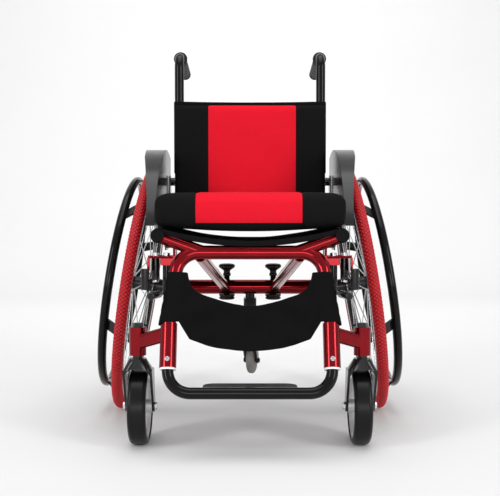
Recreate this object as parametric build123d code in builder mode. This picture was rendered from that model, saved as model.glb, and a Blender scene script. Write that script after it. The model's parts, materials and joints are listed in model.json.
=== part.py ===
from build123d import *

import os
from math import atan2, cos, degrees, radians, sin, sqrt, tan

# Rigid active manual wheelchair. Millimetres, +Z up, the user faces -Y, the user's left is +X.
# The origin is on the floor, under the middle of the chair's bounding box.

os.makedirs("parts", exist_ok=True)

# ---------------------------------------------------------------- driving dimensions
# rear wheels (24 inch, cambered)
tyre_radius = 295.0
tyre_section = 25.0
camber = 8.5
half_track = 300.0
handrim_radius = 240.0
handrim_section = 19.0
handrim_offset = 42.0
spoke_count = 24
tab_count = 6

# front frame, in a plane that leans back at the top
front_lean = 20.0
knee_reach = 422.5
knee_z = 262.0
leg_low_x = 153.5
leg_top_x = 139.0
leg_radius = 13.6
riser_radius = 12.7
tube_wall = 2.0
cross_z = 381.0

# seat and back
rail_x = 178.0
rail_z = 414.0
rail_radius = 12.7
rail_front = 397.0
rail_rear = 58.0
cushion_half_width = 190.0
cushion_front = 385.0
cushion_rear = 2.0
cushion_top = 497.0
cane_x = 170.0
cane_back = 38.0
cane_radius = 11.0
pivot_z = 535.0
back_top_z = 727.0
handle_z = 840.0
handle_reach = 235.0

# footrest
foot_tube_radius = 11.0
foot_bar_z = 124.0
foot_bend = 43.0

# casters
caster_radius = 75.0
caster_width = 36.0
caster_x = 218.0
caster_trail = 36.0
caster_stem_reach = 388.0

# ---------------------------------------------------------------- worked out from them
tyre_centre_r = tyre_radius - tyre_section / 2
hub_z = tyre_centre_r * cos(radians(camber)) + tyre_section / 2
hub_x = half_track - tyre_centre_r * sin(radians(camber))
foot_bar_s = (foot_bar_z - knee_z) / cos(radians(front_lean))
foot_reach = knee_reach - foot_bar_s * sin(radians(front_lean)) + foot_tube_radius
axle_y = (foot_reach - tyre_radius) / 2

wheel_centre = Vector(hub_x, axle_y, hub_z)
wheel_up = Vector(-sin(radians(camber)), 0, cos(radians(camber)))
wheel_out = Vector(cos(radians(camber)), 0, sin(radians(camber)))
wheel_axis = Axis(wheel_centre, wheel_out)

front_plane = Plane(
    origin=(0, axle_y - knee_reach, knee_z),
    x_dir=(1, 0, 0),
    z_dir=(0, -cos(radians(front_lean)), sin(radians(front_lean))),
)
cross_s = (cross_z - knee_z) / cos(radians(front_lean))
cross_y = axle_y - knee_reach + cross_s * sin(radians(front_lean))


# ---------------------------------------------------------------- helpers
def front_point(x, s, n=0):
    """A point of the leaning front plane: across, up the slope, out of the plane."""
    return front_plane.from_local_coords((x, s, n))


def wheel_point(angle, radius, offset):
    """A point of the left rear wheel; the angle runs from the top towards the front."""
    radial = wheel_up * cos(radians(angle)) + Vector(0, -1, 0) * sin(radians(angle))
    return wheel_centre + radial * radius + wheel_out * offset


def wheel_plane(angle=0):
    """A plane through the left wheel's axis: local x is the radius, local y runs outwards."""
    radial = wheel_up * cos(radians(angle)) + Vector(0, -1, 0) * sin(radians(angle))
    return Plane(origin=wheel_centre, x_dir=radial, z_dir=radial.cross(wheel_out))


def rod(points, radii, radius):
    """A solid round bar along straight runs joined by arcs."""
    with BuildPart() as bar:
        with BuildLine() as path:
            if radii:
                FilletPolyline(*points, radius=radii)
            else:
                Line(*points)
        with BuildSketch(Plane(origin=path.line @ 0, z_dir=path.line % 0)):
            Circle(radius)
        sweep()
    return bar.part


def ring(axis_plane, inner, outer, length):
    """A round collar that starts on a plane and runs along its normal."""
    with BuildPart() as collar:
        with BuildSketch(axis_plane):
            Circle(outer)
            if inner:
                Circle(inner, mode=Mode.SUBTRACT)
        extrude(amount=length)
    return collar.part


def combine(added, removed=()):
    """One part from pieces that are welded together, cut back from others."""
    with BuildPart() as joined:
        for piece in added:
            add(piece)
        for piece in removed:
            add(piece, mode=Mode.SUBTRACT)
    return joined.part


def mirrored(piece):
    """The same piece on the chair's other side."""
    with BuildPart() as twin:
        mirror(piece, about=Plane.YZ)
    return twin.part


def write_piece(piece, name):
    piece.label = name
    export_step(piece, f"parts/{name}.step")


def write_pair(piece, name):
    """The left piece and its right-hand twin, each in its own node."""
    write_piece(piece, f"{name}_left")
    write_piece(mirrored(piece), f"{name}_right")


def write_group(piece, name):
    """Both sides' pieces as separate solids of one node."""
    write_piece(combine([piece, mirrored(piece)]), name)


# ---------------------------------------------------------------- front frame
socket_radius = 16.0
socket_bore = 13.0
socket_low_s = -100.0
socket_top_s = -15.0
leg_bend = 45.0
riser_low_x = 90.0

loop_points = [
    front_point(leg_low_x, socket_top_s - 1.0),
    front_point(leg_low_x, 8.0),
    front_point(leg_top_x, cross_s),
    front_point(-leg_top_x, cross_s),
    front_point(-leg_low_x, 8.0),
    front_point(-leg_low_x, socket_top_s - 1.0),
]
loop_radii = [40.0, leg_bend, leg_bend, 40.0]
riser_line = [(riser_low_x, cross_y, cross_z), (rail_x - 4, cross_y, rail_z - 3)]
socket_plane = Plane(origin=front_point(leg_low_x, socket_low_s), z_dir=front_plane.y_dir)
socket_length = socket_top_s - socket_low_s
rail_line = [(rail_x, axle_y - rail_front, rail_z), (rail_x, axle_y + rail_rear, rail_z)]
rail_outer = rod(rail_line, None, rail_radius)
both_rails = combine([rail_outer, mirrored(rail_outer)])

loop_outer = rod(loop_points, loop_radii, leg_radius)
loop_tube = combine([loop_outer], [rod(loop_points, loop_radii, leg_radius - tube_wall)])
riser_outer = rod(riser_line, None, riser_radius)
riser_tube = combine(
    [riser_outer],
    [
        rod(riser_line, None, riser_radius - tube_wall),
        rod(loop_points, loop_radii, leg_radius - tube_wall / 2),
        rail_outer,
    ],
)
socket_outer = ring(socket_plane, 0, socket_radius, socket_length)
socket_tube = combine([socket_outer], [ring(socket_plane, 0, socket_bore, socket_length - 1.0)])
front_outer = combine(
    [loop_outer, riser_outer, mirrored(riser_outer), socket_outer, mirrored(socket_outer)]
)

# set screw that clamps each footrest tube
screw_s = -85.0
screw_radius = 2.5
screw_head_radius = 4.6
screw_plane = Plane(
    origin=front_point(leg_low_x, screw_s, foot_tube_radius + 0.05), z_dir=front_plane.z_dir
)
screw_body = ring(screw_plane, 0, screw_radius, socket_radius - foot_tube_radius + 0.4)
screw_head_plane = Plane(
    origin=front_point(leg_low_x, screw_s, socket_radius - 0.2), z_dir=front_plane.z_dir
)
with BuildPart() as screw_head:
    with BuildSketch(screw_head_plane):
        Circle(screw_head_radius)
    extrude(amount=3.0)
    fillet(screw_head.faces().sort_by(Axis(screw_head_plane.origin, front_plane.z_dir))[-1].edges(), 1.2)
foot_screw = combine([screw_body, screw_head.part])

front_frame = combine(
    [loop_tube, riser_tube, mirrored(riser_tube), socket_tube, mirrored(socket_tube)],
    [foot_screw, mirrored(foot_screw)],
)
write_piece(front_frame, "front_frame")

# ---------------------------------------------------------------- footrest bushes
bush_flange_radius = 15.4
bush_flange = 3.4
bush_length = 45.0
bush_clearance = 0.05
bush_plane = Plane(
    origin=front_point(leg_low_x, socket_low_s - bush_flange), z_dir=front_plane.y_dir
)
bush = combine(
    [
        ring(bush_plane, 0, bush_flange_radius, bush_flange),
        ring(bush_plane, 0, socket_bore, bush_length),
    ],
    [ring(bush_plane, 0, foot_tube_radius + bush_clearance, bush_length), foot_screw],
)
write_group(bush, "footrest_bushes")

# ---------------------------------------------------------------- footrest
foot_tube_top_s = -22.0
foot_tube_wall = 2.0
foot_points = [
    front_point(leg_low_x, foot_tube_top_s),
    front_point(leg_low_x, foot_bar_s),
    front_point(-leg_low_x, foot_bar_s),
    front_point(-leg_low_x, foot_tube_top_s),
]
foot_outer = rod(foot_points, foot_bend, foot_tube_radius)
foot_bore = rod(foot_points, foot_bend, foot_tube_radius - foot_tube_wall)
footrest_tube = combine([foot_outer], [foot_bore])
write_piece(footrest_tube, "footrest_tube")

plate_half_width = 89.0
plate_depth = 62.0
plate_thickness = 4.0
plate_z = foot_bar_z + 3.0
plate_corner = 22.0
foot_bar_y = axle_y - foot_reach + foot_tube_radius
with BuildPart() as footplate:
    with BuildSketch(Plane.XY.offset(plate_z)):
        with Locations((0, foot_bar_y + plate_depth / 2)):
            RectangleRounded(2 * plate_half_width, plate_depth, plate_corner)
        with Locations((0, foot_bar_y + plate_depth / 4)):
            Rectangle(2 * plate_half_width, plate_depth / 2)
    extrude(amount=plate_thickness)
    for x in (-plate_half_width / 2, plate_half_width / 2):
        with BuildSketch(Plane.YZ.offset(x)):
            with BuildLine():
                Polyline(
                    (foot_bar_y, plate_z + 1),
                    (foot_bar_y + plate_depth * 0.7, plate_z + 1),
                    (foot_bar_y, foot_bar_z - foot_tube_radius * 0.7),
                    close=True,
                )
            make_face()
        extrude(amount=2.0, both=True)
    add(foot_outer, mode=Mode.SUBTRACT)
write_piece(footplate.part, "footplate")

# ---------------------------------------------------------------- caster housings and their arms
housing_radius = 16.5
housing_low_z = 182.3
housing_top_z = 236.8
bearing_outer = 14.0
bearing_height = 8.0
stem_radius = 6.0
running_gap = 0.05
stem_y = axle_y - caster_stem_reach
arm_start = front_point(leg_low_x, -34.0)
arm_end = Vector(caster_x, stem_y, 207.0)
arm_width = 21.0
arm_height = 28.0

arm_run = arm_end - arm_start
with BuildPart() as arm:
    with BuildSketch(Plane(origin=arm_start, x_dir=(-arm_run.Y, arm_run.X, 0), z_dir=arm_run)):
        RectangleRounded(arm_width, arm_height, 6.5)
    extrude(amount=arm_run.length)
housing_floor = Plane(origin=(caster_x, stem_y, housing_low_z), z_dir=(0, 0, 1))
housing_height = housing_top_z - housing_low_z
caster_housing = combine(
    [arm.part, ring(housing_floor, 0, housing_radius, housing_height)],
    [ring(housing_floor, 0, bearing_outer, housing_height), front_outer],
)
write_pair(caster_housing, "caster_housing")

lower_bearing = ring(housing_floor, stem_radius + running_gap, bearing_outer, bearing_height)
upper_bearing = ring(
    housing_floor.offset(housing_height - bearing_height),
    stem_radius + running_gap,
    bearing_outer,
    bearing_height,
)
write_group(combine([lower_bearing, upper_bearing]), "caster_bearings")

# ---------------------------------------------------------------- caster forks and wheels
crown_top_z = 175.7
crown_low_z = 152.5
cheek_inner = 24.0
cheek_outer = 28.8
arch_rise = 4.0
arch_corner = 18.0
cheek_tip_radius = 11.5
caster_axle_radius = 4.0
caster_axle_y = stem_y + caster_trail
caster_centre = Vector(caster_x, caster_axle_y, caster_radius)
collar_radius = 10.0
nut_radius = 10.5
nut_height = 7.0

with BuildPart() as fork:
    with BuildSketch(Plane.XY.offset(crown_top_z)):
        with Locations((caster_x, stem_y)):
            Circle(housing_radius)
    with BuildSketch(Plane.XY.offset(crown_low_z)):
        with Locations((caster_x, stem_y + 6)):
            RectangleRounded(2 * cheek_outer, 44, 13)
    loft()
    with BuildSketch(Plane.YZ.offset(caster_x)):
        with BuildLine():
            Polyline(
                (stem_y - 15.5, crown_low_z + 0.5),
                (stem_y + 27.5, crown_low_z + 0.5),
                (caster_axle_y + cheek_tip_radius, caster_radius),
                (caster_axle_y - cheek_tip_radius, caster_radius),
                close=True,
            )
        make_face()
        with Locations((caster_axle_y, caster_radius)):
            Circle(cheek_tip_radius)
    extrude(amount=cheek_outer, both=True)
    with BuildSketch(Plane.XZ.offset(60 - stem_y)):
        with Locations((caster_x, crown_low_z + arch_rise)):
            RectangleRounded(2 * cheek_inner, 140, arch_corner, align=(Align.CENTER, Align.MAX))
    extrude(amount=-140, mode=Mode.SUBTRACT)
    with BuildSketch(Plane.YZ.offset(caster_x)):
        with Locations((caster_axle_y, caster_radius)):
            Circle(caster_axle_radius)
    extrude(amount=60, both=True, mode=Mode.SUBTRACT)
    with BuildSketch(Plane.XY.offset(crown_top_z - 1)):
        with Locations((caster_x, stem_y)):
            Circle(collar_radius)
    extrude(amount=housing_low_z - 0.3 - crown_top_z + 1)
    with BuildSketch(Plane.XY.offset(crown_top_z - 1)):
        with Locations((caster_x, stem_y)):
            Circle(stem_radius)
    extrude(amount=housing_top_z + nut_height - crown_top_z)
    with BuildSketch(Plane.XY.offset(housing_top_z + 0.4)):
        with Locations((caster_x, stem_y)):
            RegularPolygon(nut_radius, 6)
    extrude(amount=nut_height)
write_pair(fork.part, "caster_fork")

caster_hub_width = 2 * cheek_inner - 1.0
caster_rim_radius = 64.0
caster_rim_inner = 55.0
caster_rim_width = 31.0
caster_web = 20.0
caster_boss_radius = 13.0
caster_axis = Axis(caster_centre, (1, 0, 0))
caster_section = Plane(origin=caster_centre, x_dir=(0, 0, 1), z_dir=(0, 1, 0))

with BuildPart() as caster_hub:
    with BuildSketch(caster_section):
        rim_depth = caster_rim_radius - caster_rim_inner
        with Locations((caster_rim_inner + rim_depth / 2, 0)):
            Rectangle(rim_depth, caster_rim_width)
        with Locations(((caster_rim_inner + caster_boss_radius) / 2, 0)):
            Rectangle(caster_rim_inner - caster_boss_radius + 1, caster_web)
        with Locations(((caster_boss_radius + caster_axle_radius + running_gap) / 2, 0)):
            Rectangle(caster_boss_radius - caster_axle_radius - running_gap, caster_hub_width)
    revolve(axis=caster_axis)
write_pair(caster_hub.part, "caster_hub")

with BuildPart() as caster_tyre:
    with BuildSketch(caster_section):
        with Locations((caster_rim_radius, 0)):
            RectangleRounded(2 * (caster_radius - caster_rim_radius), caster_width, 8)
        with Locations((caster_rim_radius / 2, 0)):
            Rectangle(caster_rim_radius, caster_width + 10, mode=Mode.SUBTRACT)
    revolve(axis=caster_axis)
write_pair(caster_tyre.part, "caster_tyre")

caster_bolt_length = 2 * cheek_outer
bolt_start = Plane(origin=caster_centre - Vector(cheek_outer, 0, 0), z_dir=(1, 0, 0))
with BuildPart() as bolt_ends:
    for x in (-cheek_outer - 5.0, cheek_outer):
        with BuildSketch(Plane(origin=caster_centre + Vector(x, 0, 0), z_dir=(1, 0, 0))):
            RegularPolygon(7.5, 6)
        extrude(amount=5.0)
caster_axle = combine(
    [ring(bolt_start, 0, caster_axle_radius, caster_bolt_length), bolt_ends.part]
)
write_pair(caster_axle, "caster_axle")

# ---------------------------------------------------------------- seat rails and their end caps
rail_start = Plane(origin=rail_line[0], z_dir=(0, 1, 0))
rail_length = rail_front + rail_rear
rail_bore = rail_radius - tube_wall
seat_rail = ring(rail_start, rail_bore, rail_radius, rail_length)
write_pair(seat_rail, "seat_rail")

cap_thickness = 4.0
cap_plug = 14.0
front_cap = combine(
    [
        ring(rail_start.offset(-cap_thickness), 0, rail_radius, cap_thickness),
        ring(rail_start, 0, rail_bore, cap_plug),
    ]
)
rear_cap = combine(
    [
        ring(rail_start.offset(rail_length), 0, rail_radius, cap_thickness),
        ring(rail_start.offset(rail_length - cap_plug), 0, rail_bore, cap_plug),
    ]
)
write_group(combine([front_cap, rear_cap]), "rail_caps")

# ---------------------------------------------------------------- camber tube, knobs and braces
camber_tube_radius = 17.0
camber_tube_z = 284.0
camber_tube_half = 188.0
camber_tube_wall = 2.0
knob_x = 55.0
knob_stem_radius = 7.0
knob_radius = 19.5
knob_top_z = 340.0
knob_head = 13.0
disc_radius = 19.0
disc_height = 13.0

camber_line = [(-camber_tube_half, axle_y, camber_tube_z), (camber_tube_half, axle_y, camber_tube_z)]
camber_outer = rod(camber_line, None, camber_tube_radius)
camber_bore = rod(camber_line, None, camber_tube_radius - camber_tube_wall)
disc_z = camber_tube_z - camber_tube_radius - disc_height
knob_base = Plane(origin=(knob_x, axle_y, disc_z), z_dir=(0, 0, 1))
knob_stem = ring(knob_base, 0, knob_stem_radius, knob_top_z - disc_z - 4.0)
camber_tube = combine([camber_outer], [camber_bore, knob_stem, mirrored(knob_stem)])
write_piece(camber_tube, "camber_tube")

with BuildPart() as knob:
    add(knob_stem)
    with BuildSketch(Plane(origin=(knob_x, axle_y, knob_top_z), z_dir=(0, 0, 1))):
        Circle(knob_radius)
    extrude(amount=-knob_head)
    fillet(knob.edges().group_by(Axis.Z)[-1], 5.0)
    with BuildSketch(knob_base):
        Circle(disc_radius)
    extrude(amount=disc_height)
    chamfer(knob.edges().group_by(Axis.Z)[0], 2.5)
    add(camber_outer, mode=Mode.SUBTRACT)
    add(knob_stem)
write_group(knob.part, "brace_knobs")

brace_radius = 12.0
brace_line = [(97.0, cross_y + 2, 374.0), (57.0, axle_y, 280.0)]
brace = combine(
    [rod(brace_line, None, brace_radius)],
    [rod(brace_line, None, brace_radius - tube_wall), front_outer, camber_outer],
)
write_group(brace, "frame_braces")

# ---------------------------------------------------------------- axle plates
axle_plate_low_x = 175.0
axle_plate_thickness = 6.0
axle_plate_half = 30.0
axle_collar_radius = 25.0
axle_collar_x = 166.0
axle_collar_width = 18.0
axle_plate_top_z = rail_z - 2

with BuildPart() as axle_plate:
    with BuildSketch(Plane.YZ.offset(axle_plate_low_x)):
        with BuildLine():
            Polyline(
                (axle_y - axle_plate_half, axle_plate_top_z),
                (axle_y + axle_plate_half, axle_plate_top_z),
                (axle_y + axle_collar_radius * 0.9, camber_tube_z),
                (axle_y - axle_collar_radius * 0.9, camber_tube_z),
                close=True,
            )
        make_face()
        with Locations((axle_y, (camber_tube_z + rail_z) / 2 + 4)):
            SlotOverall(46, 22, rotation=90, mode=Mode.SUBTRACT)
    extrude(amount=axle_plate_thickness)
    with BuildSketch(Plane.YZ.offset(axle_collar_x)):
        with Locations((axle_y, camber_tube_z)):
            Circle(axle_collar_radius)
    extrude(amount=axle_collar_width)
    add(camber_outer, mode=Mode.SUBTRACT)
    add(rail_outer, mode=Mode.SUBTRACT)
write_group(axle_plate.part, "axle_plates")

# ---------------------------------------------------------------- camber plugs, axles and buttons
plug_radius = 17.0
plug_inner_s = -72.0
plug_outer_s = -30.0
plug_spigot = 40.0
axle_radius = 6.3
axle_inner_s = -92.0
axle_outer_s = 34.0
axle_head_radius = 9.0
axle_head = 3.5
button_radius = 4.5
button_inner_s = 24.0
button_outer_s = 38.5
button_travel = 3.0


def hub_ring(offset, inner, outer, length):
    """A collar round the left wheel's axis, from an offset outwards."""
    base = Plane(origin=wheel_centre + wheel_out * offset, z_dir=wheel_out)
    return ring(base, inner, outer, length)


spigot_plane = Plane(origin=(camber_tube_half - plug_spigot, axle_y, camber_tube_z), z_dir=(1, 0, 0))
axle_shaft = hub_ring(axle_inner_s, 0, axle_radius, axle_outer_s - axle_inner_s)
spigot = ring(spigot_plane, 0, camber_tube_radius - camber_tube_wall, plug_spigot + 4)
camber_plug = combine(
    [hub_ring(plug_inner_s, 0, plug_radius, plug_outer_s - plug_inner_s), spigot],
    [combine([camber_outer], [camber_bore]), axle_shaft, axle_plate.part],
)
write_group(camber_plug, "camber_plugs")

button_bore = hub_ring(
    button_inner_s - button_travel - 1, 0, button_radius + running_gap, button_outer_s
)
axle_pin = combine(
    [axle_shaft, hub_ring(axle_outer_s - axle_head, 0, axle_head_radius, axle_head)],
    [button_bore],
)
write_group(axle_pin, "axle_pins")

with BuildPart() as axle_button:
    add(hub_ring(button_inner_s, 0, button_radius, button_outer_s - button_inner_s))
    fillet(axle_button.faces().sort_by(wheel_axis)[-1].edges(), 1.5)
write_pair(axle_button.part, "axle_button")

# ---------------------------------------------------------------- rear wheels
rim_outer = 274.0
rim_inner = 250.0
rim_half = 10.5
hub_inner_s = -27.0
hub_outer_s = 30.0
hub_barrel = 15.0
hub_flange = 27.0
flange_offset = 20.0
flange_width = 4.0
spoke_radius = 1.2
spoke_twist = 22.0
spoke_sink = 1.5
tab_first = 48.0
tab_half_width = 11.0

with BuildPart() as rear_tyre:
    with BuildSketch(wheel_plane()):
        with Locations((tyre_centre_r, 0)):
            Circle(tyre_section / 2)
        Rectangle(2 * rim_outer, 2 * tyre_section, mode=Mode.SUBTRACT)
    revolve(axis=wheel_axis)
write_pair(rear_tyre.part, "rear_tyre")

spokes = []
for turn in range(spoke_count):
    rim_angle = 360.0 * turn / spoke_count
    lacing = 1 if turn % 2 else -1
    hub_end = wheel_point(rim_angle + lacing * spoke_twist, hub_flange, lacing * flange_offset)
    rim_end = wheel_point(rim_angle, rim_inner, lacing * 1.5)
    run = (rim_end - hub_end).normalized()
    spokes.append(rod([hub_end - run * spoke_sink, rim_end + run * spoke_sink], None, spoke_radius))
rear_spokes = combine(spokes)
write_pair(rear_spokes, "rear_spokes")

with BuildPart() as rear_rim:
    with BuildSketch(wheel_plane()):
        with BuildLine():
            Polyline(
                (rim_inner, -5.0),
                (rim_inner + 8, -rim_half),
                (rim_outer, -rim_half),
                (rim_outer, rim_half),
                (rim_inner + 8, rim_half),
                (rim_inner, 5.0),
                close=True,
            )
        make_face()
        with Locations((rim_outer - 7.5, 0)):
            Rectangle(9.0, 2 * rim_half - 4, mode=Mode.SUBTRACT)
    revolve(axis=wheel_axis)
    add(rear_spokes, mode=Mode.SUBTRACT)
write_pair(rear_rim.part, "rear_rim")

with BuildPart() as rear_hub:
    with BuildSketch(wheel_plane()):
        hub_bore = axle_radius + running_gap
        with Locations((0, (hub_inner_s + hub_outer_s) / 2)):
            Rectangle(2 * hub_barrel, hub_outer_s - hub_inner_s)
        with Locations((0, flange_offset), (0, -flange_offset)):
            Rectangle(2 * hub_flange, flange_width)
        Rectangle(2 * hub_bore, 200, mode=Mode.SUBTRACT)
        with Locations((-hub_flange, 0)):
            Rectangle(2 * hub_flange, 200, mode=Mode.SUBTRACT)
    revolve(axis=wheel_axis)
    add(rear_spokes, mode=Mode.SUBTRACT)
write_pair(rear_hub.part, "rear_hub")

with BuildPart() as handrim:
    with BuildSketch(wheel_plane()):
        with Locations((handrim_radius, handrim_offset)):
            Circle(handrim_section / 2)
            Circle(handrim_section / 2 - 1.5, mode=Mode.SUBTRACT)
    revolve(axis=wheel_axis)
write_pair(handrim.part, "handrim")

with BuildPart() as handrim_tabs:
    for turn in range(tab_count):
        with BuildSketch(wheel_plane(tab_first + 360.0 * turn / tab_count)):
            with BuildLine():
                Polyline(
                    (handrim_radius - 4, handrim_offset - 7.5),
                    (handrim_radius + 4, handrim_offset - 7.5),
                    (rim_outer - 6, rim_half),
                    (rim_outer - 14, rim_half),
                    close=True,
                )
            make_face()
        extrude(amount=tab_half_width, both=True)
    add(handrim.part, mode=Mode.SUBTRACT)
write_pair(handrim_tabs.part, "handrim_tabs")


# ---------------------------------------------------------------- side guards
guard_x = 196.5
guard_thickness = 3.0
guard_radius = 316.0
guard_low_z = 432.0
guard_rear = 95.0
guard_lip_x = 240.0
guard_lip_front_x = 217.0
guard_tongue_half = 32.0
guard_tongue_z = 372.0
guard_screw_z = 384.0
guard_screw_y = 20.0
guard_boss_radius = 7.0
guard_screw_radius = 2.5

guard_front = sqrt(guard_radius**2 - (guard_low_z - hub_z) ** 2)
with BuildPart() as side_guard:
    with BuildSketch(Plane.YZ.offset(guard_x)):
        with Locations((axle_y, hub_z)):
            Circle(guard_radius)
        with Locations((axle_y, guard_low_z)):
            Rectangle(4 * guard_radius, guard_radius * 2, align=(Align.CENTER, Align.MAX), mode=Mode.SUBTRACT)
        with Locations((axle_y + guard_rear, guard_low_z)):
            Rectangle(400, 800, align=(Align.MIN, Align.CENTER), mode=Mode.SUBTRACT)
        with Locations((axle_y, (guard_low_z + guard_tongue_z) / 2 + 1)):
            Rectangle(2 * guard_tongue_half, guard_low_z - guard_tongue_z + 2)
    extrude(amount=guard_thickness)
    with BuildSketch(Plane.YZ.offset(guard_x)):
        with Locations((axle_y, hub_z)):
            Circle(guard_radius)
            Circle(guard_radius - guard_thickness, mode=Mode.SUBTRACT)
        with Locations((axle_y, guard_low_z)):
            Rectangle(4 * guard_radius, guard_radius * 2, align=(Align.CENTER, Align.MAX), mode=Mode.SUBTRACT)
        with Locations((axle_y + guard_rear, guard_low_z)):
            Rectangle(400, 800, align=(Align.MIN, Align.CENTER), mode=Mode.SUBTRACT)
    extrude(amount=guard_lip_x - guard_x)
    with BuildSketch(Plane.XY.offset(guard_low_z - 20)):
        with BuildLine():
            Polyline(
                (guard_lip_front_x - 4, axle_y - guard_front - 10),
                (guard_lip_front_x, axle_y - guard_front + 40),
                (guard_lip_x - 5, axle_y - 120),
                (guard_lip_x + 0.5, axle_y - 40),
                (guard_lip_x + 60, axle_y - 40),
                (guard_lip_x + 60, axle_y - guard_front - 10),
                close=True,
            )
        make_face()
    extrude(amount=guard_radius, mode=Mode.SUBTRACT)
    for y in (axle_y - guard_screw_y, axle_y + guard_screw_y):
        boss_x = axle_plate_low_x + axle_plate_thickness
        with BuildSketch(Plane.YZ.offset(boss_x)):
            with Locations((y, guard_screw_z)):
                Circle(guard_boss_radius)
        extrude(amount=guard_x - boss_x + 1)
        with BuildSketch(Plane.YZ.offset(boss_x)):
            with Locations((y, guard_screw_z)):
                Circle(guard_screw_radius)
        extrude(amount=30, mode=Mode.SUBTRACT)
write_pair(side_guard.part, "side_guard")

guard_screws = []
for y in (axle_y - guard_screw_y, axle_y + guard_screw_y):
    shank_plane = Plane(origin=(boss_x, y, guard_screw_z), z_dir=(1, 0, 0))
    head_plane = Plane(origin=(guard_x + guard_thickness, y, guard_screw_z), z_dir=(1, 0, 0))
    guard_screws.append(ring(shank_plane, 0, guard_screw_radius, guard_x + guard_thickness - boss_x))
    guard_screws.append(ring(head_plane, 0, 4.5, 2.5))

# ---------------------------------------------------------------- frame bolts
plate_bolt_y = 21.0
plate_bolt_z = 392.0
clamp_bolt_z = camber_tube_z + 21.0
frame_bolts = [foot_screw, *guard_screws]
bolt_head_plane = Plane(origin=(axle_plate_low_x, axle_y, plate_bolt_z), z_dir=(-1, 0, 0))
frame_bolts.append(ring(bolt_head_plane, 0, 6.0, 5.0))
for y in (axle_y - 34.5, axle_y + 29.5):
    nut_plane = Plane(origin=(axle_collar_x + 4.5, y, camber_tube_z), z_dir=(0, 1, 0))
    if y < axle_y:
        frame_bolts.append(ring(nut_plane, 0, 6.5, 10.4))
    else:
        frame_bolts.append(ring(nut_plane.offset(-5.5), 0, 6.5, 10.5))
bolt_set = combine(frame_bolts, [axle_plate.part, side_guard.part])
write_group(bolt_set, "frame_bolts")

# ---------------------------------------------------------------- brakes
brake_plate_z = 369.0
brake_plate = 5.0
shoe_pivot = (188.0, axle_y - 338.0)
lever_pivot = (165.0, axle_y - 348.0)
brake_pin_radius = 4.0
brake_boss_radius = 8.0
shoe_arm_z = 326.0
lever_arm_z = 299.0
brake_arm = 5.0
shoe_radius = 8.0
shoe_low_z = 311.0
shoe_height = 40.0
shoe_rest_angle = -80.0
lever_rest_angle = -78.0
lever_length = 92.0
shoe_gap = 0.8

shoe_z = shoe_arm_z + brake_arm
shoe_touch_x = hub_x - (shoe_z - hub_z) * tan(radians(camber))
shoe_touch_y = axle_y - tyre_radius - shoe_radius - shoe_gap
shoe_reach = sqrt((shoe_touch_x - shoe_pivot[0]) ** 2 + (shoe_touch_y - shoe_pivot[1]) ** 2)
shoe_x = shoe_pivot[0] + shoe_reach * cos(radians(shoe_rest_angle))
shoe_y = shoe_pivot[1] + shoe_reach * sin(radians(shoe_rest_angle))
lever_x = lever_pivot[0] + lever_length * cos(radians(lever_rest_angle))
lever_y = lever_pivot[1] + lever_length * sin(radians(lever_rest_angle))

brake_pins = []
for x, y, low in ((*shoe_pivot, shoe_arm_z), (*lever_pivot, lever_arm_z)):
    pin_plane = Plane(origin=(x, y, low - 6.0), z_dir=(0, 0, 1))
    head_plane = Plane(origin=(x, y, brake_plate_z + brake_plate), z_dir=(0, 0, 1))
    nut_plane = Plane(origin=(x, y, low - 5.5), z_dir=(0, 0, 1))
    brake_pins.append(ring(pin_plane, 0, brake_pin_radius, brake_plate_z + brake_plate - low + 6.5))
    brake_pins.append(ring(head_plane, 0, 7.0, 5.0))
    brake_pins.append(ring(nut_plane, 0, 6.5, 5.2))
brake_pin_set = combine(brake_pins)
write_group(brake_pin_set, "brake_pivots")

with BuildPart() as brake_bracket:
    with BuildSketch(Plane.XY.offset(brake_plate_z)):
        with BuildLine():
            Polyline(
                (shoe_pivot[0] + 14, shoe_pivot[1] + 12),
                (lever_pivot[0] - 12, lever_pivot[1] + 14),
                (126.0, cross_y + 16),
                (126.0, cross_y),
                (150.0, cross_y),
                (shoe_pivot[0] + 8, cross_y + 12),
                (shoe_pivot[0] + 14, shoe_pivot[1] - 12),
                close=True,
            )
        make_face()
    extrude(amount=brake_plate)
    with BuildSketch(Plane.XZ.offset(-(cross_y + 14))):
        with Locations((163.0, brake_plate_z)):
            Rectangle(24.0, 14.0, align=(Align.CENTER, Align.MAX))
    extrude(amount=-4.0)
    with BuildSketch(Plane.YZ.offset(shoe_pivot[0] + 10)):
        with Locations((cross_y + 30, brake_plate_z + 1)):
            Rectangle(34.0, 26.0, align=(Align.CENTER, Align.MAX))
    extrude(amount=4.0)
    add(front_outer, mode=Mode.SUBTRACT)
    add(brake_pin_set, mode=Mode.SUBTRACT)
write_group(brake_bracket.part, "brake_brackets")


def brake_arm_part(pivot, tip, arm_z, half_width):
    """A flat arm with a tall boss round its pivot."""
    run_x = tip[0] - pivot[0]
    run_y = tip[1] - pivot[1]
    with BuildPart() as flat_arm:
        with BuildSketch(Plane.XY.offset(arm_z)):
            with Locations(tip):
                Circle(half_width)
            with Locations(((pivot[0] + tip[0]) / 2, (pivot[1] + tip[1]) / 2)):
                Rectangle(sqrt(run_x**2 + run_y**2), 2 * half_width, rotation=degrees(atan2(run_y, run_x)))
        extrude(amount=brake_arm)
        with BuildSketch(Plane.XY.offset(arm_z)):
            with Locations(pivot):
                Circle(brake_boss_radius)
        extrude(amount=brake_plate_z - 0.4 - arm_z)
    return flat_arm.part


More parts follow.
